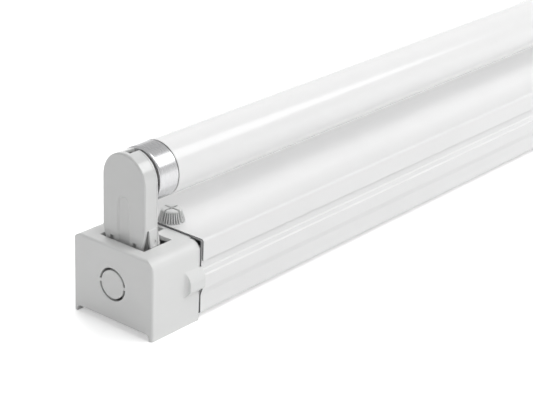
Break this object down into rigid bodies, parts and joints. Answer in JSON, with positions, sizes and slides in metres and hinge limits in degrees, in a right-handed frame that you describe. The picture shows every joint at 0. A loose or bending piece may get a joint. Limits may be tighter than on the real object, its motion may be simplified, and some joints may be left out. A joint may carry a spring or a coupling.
{
  "type": "fluorescent tube fixture",
  "caption": "Narrow white batten: folded steel channel and cover, moulded end caps, twist-in lampholders and a straight fluorescent tube standing above it.",
  "frame": {"origin": "middle of the batten, on the plane of its mounting face", "axes": "+X along the lamp, +Y across the batten, +Z from the mounting face towards the lamp"},
  "size_m": [0.623, 0.0526, 0.0799],
  "materials": {
    "painted_steel": "smooth white powder coat, semi-gloss",
    "moulding": "fine-grained white moulding",
    "holder_moulding": "smooth white moulding",
    "rotor_moulding": "smooth white moulding",
    "opal_glass": "clear glass coated white inside",
    "clear_glass": "clear",
    "cap_aluminium": "bright drawn",
    "insulating_disc": "pressed",
    "brass": "plain",
    "tungsten": "dull wire",
    "zinc_steel": "zinc plated",
    "circuit_board": "lacquered",
    "terminal_moulding": "plain",
    "grommet_rubber": "soft, dull",
    "white_insulation": "plain",
    "brown_insulation": "plain",
    "green_insulation": "plain"
  },
  "bodies": {
    "fixture": {"base_channel": "painted_steel", "gear_cover": "painted_steel", "holder_bracket_near": "painted_steel", "holder_bracket_far": "painted_steel", "knob_bracket_near": "painted_steel", "knob_bracket_far": "painted_steel", "end_cap_near": "moulding", "end_cap_far": "moulding", "holder_shell_near": "holder_moulding", "holder_shell_far": "holder_moulding", "holder_back_near": "holder_moulding", "holder_back_far": "holder_moulding", "holder_contacts_near": "brass", "holder_contacts_far": "brass", "clamp_screws": "brass", "earth_screw": "brass", "bracket_rivets": "zinc_steel", "gear_tray": "zinc_steel", "gear_lid": "zinc_steel", "gear_screws": "zinc_steel", "block_screws": "zinc_steel", "gear_board": "circuit_board", "gear_terminals": "terminal_moulding", "mains_block": "terminal_moulding", "inlet_grommet": "grommet_rubber", "lamp_leads_near": "white_insulation", "lamp_leads_far": "white_insulation", "lead_clips": "white_insulation", "mains_leads": "brown_insulation", "earth_lead": "green_insulation"},
    "lamp": {"glass_tube": "opal_glass", "lamp_cap_near": "cap_aluminium", "lamp_cap_far": "cap_aluminium", "lamp_disc_near": "insulating_disc", "lamp_disc_far": "insulating_disc", "lamp_pins_near": "brass", "lamp_pins_far": "brass", "lamp_stem_near": "clear_glass", "lamp_stem_far": "clear_glass", "lamp_cathode_near": "tungsten", "lamp_cathode_far": "tungsten"},
    "rotor_near": {"holder_rotor_near": "rotor_moulding"},
    "knob_near": {"cover_knob_near": "moulding"},
    "rotor_far": {"holder_rotor_far": "rotor_moulding"},
    "knob_far": {"cover_knob_far": "moulding"}
  },
  "joints": [
    {"name": "lamp_twist", "type": "hinge", "parent": "fixture", "child": "lamp", "pos_m": [0, 0, 0.0669], "axis": [1, 0, 0], "range_deg": [0, 90]},
    {"name": "rotor_near_turn", "type": "hinge", "parent": "fixture", "child": "rotor_near", "pos_m": [-0.301, 0, 0.0669], "axis": [1, 0, 0], "range_deg": [0, 90]},
    {"name": "rotor_far_turn", "type": "hinge", "parent": "fixture", "child": "rotor_far", "pos_m": [0.301, 0, 0.0669], "axis": [1, 0, 0], "range_deg": [0, 90]},
    {"name": "knob_near_turn", "type": "hinge", "parent": "fixture", "child": "knob_near", "pos_m": [-0.274, 0, 0.0392], "axis": [0, 0, 1], "range_deg": [0, 90]},
    {"name": "knob_far_turn", "type": "hinge", "parent": "fixture", "child": "knob_far", "pos_m": [0.274, 0, 0.0392], "axis": [0, 0, 1], "range_deg": [0, 90]}
  ],
  "couplings": [
    {"joint": "rotor_near_turn", "follows": "lamp_twist", "ratio": 1},
    {"joint": "rotor_far_turn", "follows": "lamp_twist", "ratio": 1}
  ]
}
